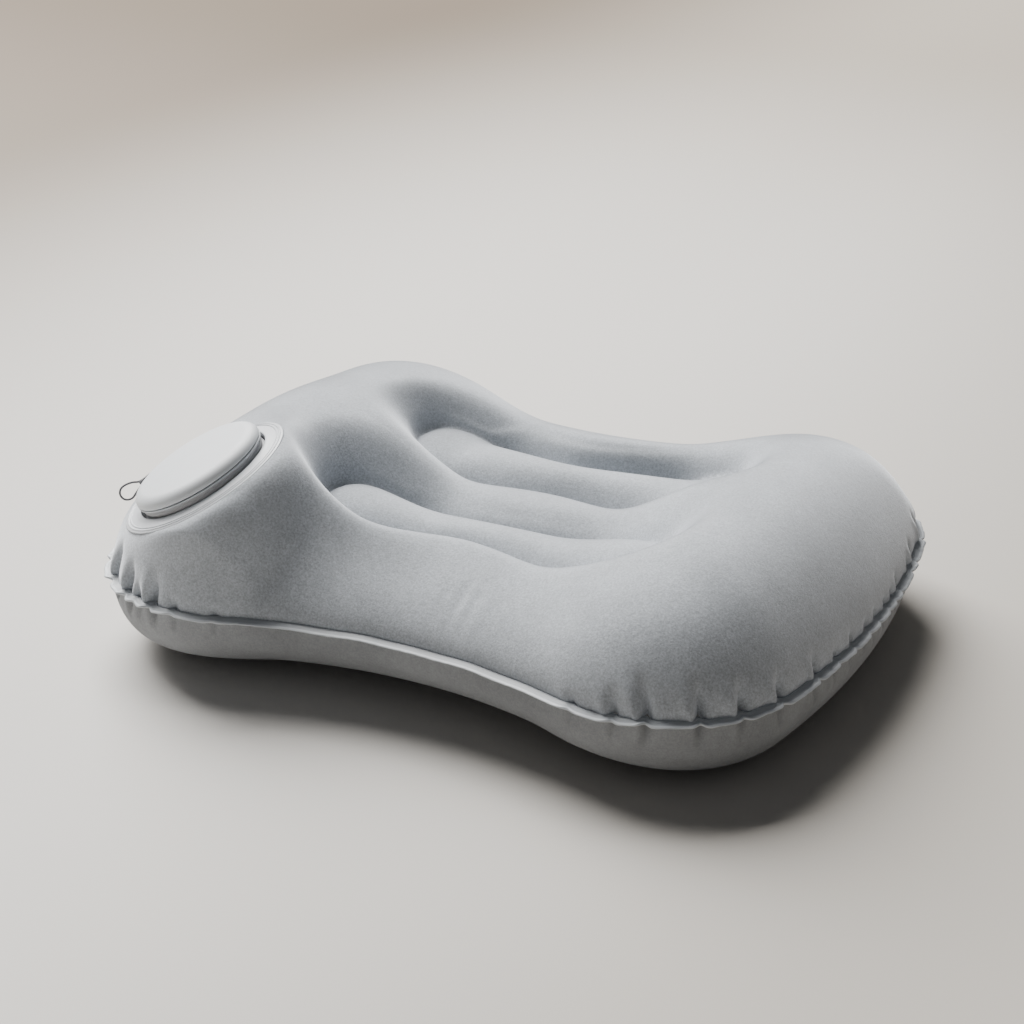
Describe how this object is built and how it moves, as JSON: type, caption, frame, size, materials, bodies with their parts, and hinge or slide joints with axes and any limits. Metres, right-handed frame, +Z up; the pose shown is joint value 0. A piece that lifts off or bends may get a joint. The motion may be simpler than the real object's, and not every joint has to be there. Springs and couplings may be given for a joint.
{
  "type": "inflatable camp pillow",
  "caption": "Inflatable flocked camp pillow with raised end lobes, a ribbed head cradle, a welded hem, a round built-in press pump and a cord loop that pulls its release plug.",
  "frame": {"origin": "centre of the footprint, on the ground that the pillow lies on", "axes": "+X along the long side, with the pump on the lobe at -X; +Y towards the rear, with the pump on the front side at -Y; +Z up"},
  "size_m": [0.426, 0.335, 0.123],
  "materials": {
    "flocked_sheet": "short velvety flock",
    "welded_hem": "satin welded film",
    "tie_web": "satin film",
    "collar_plastic": "soft satin",
    "pump_plastic": "moulded matte",
    "cap_plastic": "smooth matte",
    "foam": "open-cell foam",
    "soft_grey": "soft matte",
    "flap_rubber": "soft matte",
    "cord": "fine waxed cord"
  },
  "bodies": {
    "pillow": {"upper_shell": "flocked_sheet", "lower_shell": "flocked_sheet", "perimeter_weld": "welded_hem", "front_outer_web": "tie_web", "front_inner_web": "tie_web", "rear_inner_web": "tie_web", "rear_outer_web": "tie_web", "pump_weld_ring": "collar_plastic", "pump_base": "pump_plastic", "pump_foam": "foam", "pump_bellows": "soft_grey", "outlet_cage": "pump_plastic", "release_port": "pump_plastic"},
    "press_pad": {"pump_cap": "cap_plastic", "cap_ring": "cap_plastic", "intake_plate": "pump_plastic"},
    "intake_valve": {"intake_flap": "flap_rubber"},
    "outlet_valve": {"outlet_flap": "flap_rubber"},
    "plug": {"release_plug": "pump_plastic", "plug_seal": "flap_rubber", "pull_loop": "cord", "loop_crimp": "cord"}
  },
  "joints": [
    {"name": "pad_press", "type": "slide", "parent": "pillow", "child": "press_pad", "axis": [0.4151, 0.252, -0.8742], "range_m": [0, 0.012], "stiffness_N_per_m": 1200, "deforming": ["pump_foam", "pump_bellows"]},
    {"name": "plug_pull", "type": "slide", "parent": "pillow", "child": "plug", "axis": [-0.4151, -0.252, 0.8742], "range_m": [0, 0.012]},
    {"name": "intake_flap_lift", "type": "slide", "parent": "press_pad", "child": "intake_valve", "axis": [0.4151, 0.252, -0.8742], "range_m": [0, 0.0012], "stiffness_N_per_m": 15},
    {"name": "outlet_flap_lift", "type": "slide", "parent": "pillow", "child": "outlet_valve", "axis": [0.4151, 0.252, -0.8742], "range_m": [0, 0.0012], "stiffness_N_per_m": 15}
  ]
}
